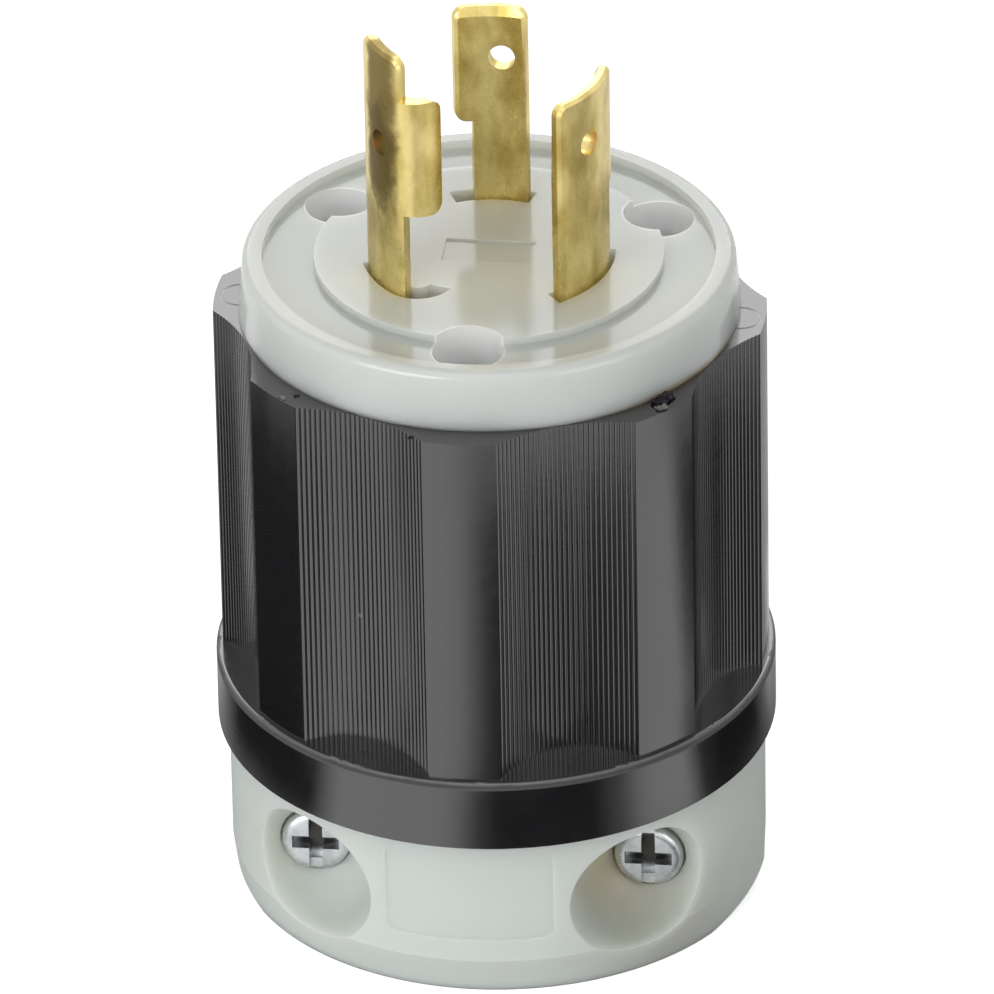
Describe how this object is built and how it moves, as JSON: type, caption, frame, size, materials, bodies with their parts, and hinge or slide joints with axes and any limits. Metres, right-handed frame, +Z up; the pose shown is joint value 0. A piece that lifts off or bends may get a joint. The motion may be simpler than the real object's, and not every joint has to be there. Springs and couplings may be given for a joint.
{
  "type": "locking power plug",
  "caption": "Cylindrical locking power plug: white face with curved brass blades, black ribbed grip with a flange, and a white cord end with a screw clamp.",
  "frame": {"origin": "centre of the underside of the cord end, on the plug's axis", "axes": "+Z up the plug's axis to the blades, -Y to the side with the clamp screw heads"},
  "size_m": [0.0508, 0.0508, 0.0881],
  "materials": {
    "white_nylon": "moulded nylon, glossy face, satin cord end",
    "black_nylon": "moulded nylon, semi-gloss, ribbed",
    "insulator": "moulded, matte",
    "brass": "rolled strip, lightly tarnished",
    "zinc": "zinc plated",
    "green_screw": "green dyed zinc plating"
  },
  "bodies": {
    "plug": {"grip_housing": "black_nylon", "blade_face": "white_nylon", "cord_end": "white_nylon", "terminal_body": "insulator", "ground_blade": "brass", "line_blade_1": "brass", "line_blade_2": "brass", "line_clamp_plate_1": "brass", "line_clamp_plate_2": "brass", "ground_clamp_plate": "brass", "line_terminal_screw_1": "brass", "line_terminal_screw_2": "zinc", "ground_terminal_screw": "green_screw", "assembly_screw_1": "zinc", "assembly_screw_2": "zinc", "assembly_screw_3": "zinc"},
    "jaw": {"cord_clamp_jaw": "insulator", "clamp_nut_1": "zinc", "clamp_nut_2": "zinc"},
    "clamp_screw_left": {"clamp_screw_1": "zinc"},
    "clamp_screw_right": {"clamp_screw_2": "zinc"}
  },
  "joints": [
    {"name": "clamp_screw_left_turn", "type": "hinge", "parent": "plug", "child": "clamp_screw_left", "pos_m": [-0.01515, 0, 0.00965], "axis": [0, 1, 0], "range_deg": [0, 5400]},
    {"name": "clamp_screw_right_turn", "type": "hinge", "parent": "plug", "child": "clamp_screw_right", "pos_m": [0.01515, 0, 0.00965], "axis": [0, 1, 0], "range_deg": [0, 5400]},
    {"name": "jaw_slide", "type": "slide", "parent": "plug", "child": "jaw", "axis": [0, -1, 0], "range_m": [0, 0.0119]}
  ],
  "couplings": [
    {"joint": "clamp_screw_left_turn", "follows": "jaw_slide", "rad_per_m": 7915.8},
    {"joint": "clamp_screw_right_turn", "follows": "jaw_slide", "rad_per_m": 7915.8}
  ]
}
